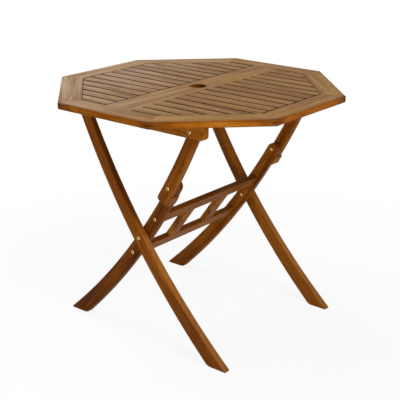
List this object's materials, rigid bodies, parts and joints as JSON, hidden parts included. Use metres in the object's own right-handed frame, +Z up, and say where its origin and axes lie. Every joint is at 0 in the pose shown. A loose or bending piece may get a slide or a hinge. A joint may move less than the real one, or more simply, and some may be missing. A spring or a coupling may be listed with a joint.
{
  "type": "folding octagonal patio table",
  "caption": "Octagonal folding wooden patio table: slatted top with a parasol hole in a mitred rim, on crossed curved legs with hinged upper links and a ladder stretcher.",
  "frame": {"origin": "on the floor under the middle of the table top", "axes": "+Z up, X along the slats, Y along the centre board; the outer legs hang from the -X pivots"},
  "size_m": [0.8, 0.8, 0.72],
  "materials": {
    "rim_wood": "oiled hardwood",
    "slat_wood": "oiled hardwood",
    "leg_wood": "oiled hardwood",
    "brass_hardware": "satin"
  },
  "bodies": {
    "table_top": {"rim_board_1": "rim_wood", "rim_board_2": "rim_wood", "rim_board_3": "rim_wood", "rim_board_4": "rim_wood", "rim_board_5": "rim_wood", "rim_board_6": "rim_wood", "rim_board_7": "rim_wood", "rim_board_8": "rim_wood", "centre_board": "rim_wood", "slat_left_01": "slat_wood", "slat_left_02": "slat_wood", "slat_left_03": "slat_wood", "slat_left_04": "slat_wood", "slat_left_05": "slat_wood", "slat_left_06": "slat_wood", "slat_left_07": "slat_wood", "slat_left_08": "slat_wood", "slat_left_09": "slat_wood", "slat_left_10": "slat_wood", "slat_left_11": "slat_wood", "slat_left_12": "slat_wood", "slat_left_13": "slat_wood", "slat_left_14": "slat_wood", "slat_left_15": "slat_wood", "slat_right_01": "slat_wood", "slat_right_02": "slat_wood", "slat_right_03": "slat_wood", "slat_right_04": "slat_wood", "slat_right_05": "slat_wood", "slat_right_06": "slat_wood", "slat_right_07": "slat_wood", "slat_right_08": "slat_wood", "slat_right_09": "slat_wood", "slat_right_10": "slat_wood", "slat_right_11": "slat_wood", "slat_right_12": "slat_wood", "slat_right_13": "slat_wood", "slat_right_14": "slat_wood", "slat_right_15": "slat_wood", "batten_near": "leg_wood", "batten_far": "leg_wood", "top_pivot_bolts": "brass_hardware", "top_pivot_sleeves": "brass_hardware"},
    "outer_legs": {"outer_leg_near": "leg_wood", "outer_leg_far": "leg_wood", "crossing_bolts": "brass_hardware", "crossing_sleeves": "brass_hardware"},
    "inner_legs": {"inner_leg_near": "leg_wood", "inner_leg_far": "leg_wood", "upper_rail": "leg_wood", "lower_rail": "leg_wood", "strut_1": "leg_wood", "strut_2": "leg_wood", "rail_bolts": "brass_hardware", "knee_sleeves": "brass_hardware"},
    "upper_links": {"upper_link_near": "leg_wood", "upper_link_far": "leg_wood", "knee_bolts": "brass_hardware", "knee_stop_blocks": "leg_wood"}
  },
  "joints": [
    {"name": "leg_fold", "type": "hinge", "parent": "table_top", "child": "outer_legs", "pos_m": [-0.209, 0, 0.678], "axis": [0, -1, 0], "range_deg": [0, 41]},
    {"name": "link_fold", "type": "hinge", "parent": "table_top", "child": "upper_links", "pos_m": [0.209, 0, 0.678], "axis": [0, -1, 0], "range_deg": [0, 88.5]},
    {"name": "crossing_fold", "type": "hinge", "parent": "outer_legs", "child": "inner_legs", "pos_m": [0, 0, 0.323], "axis": [0, 1, 0], "range_deg": [0, 89.5]}
  ],
  "couplings": [
    {"joint": "link_fold", "follows": "leg_fold", "ratio": 2.1561},
    {"joint": "crossing_fold", "follows": "leg_fold", "ratio": 2.1795}
  ]
}
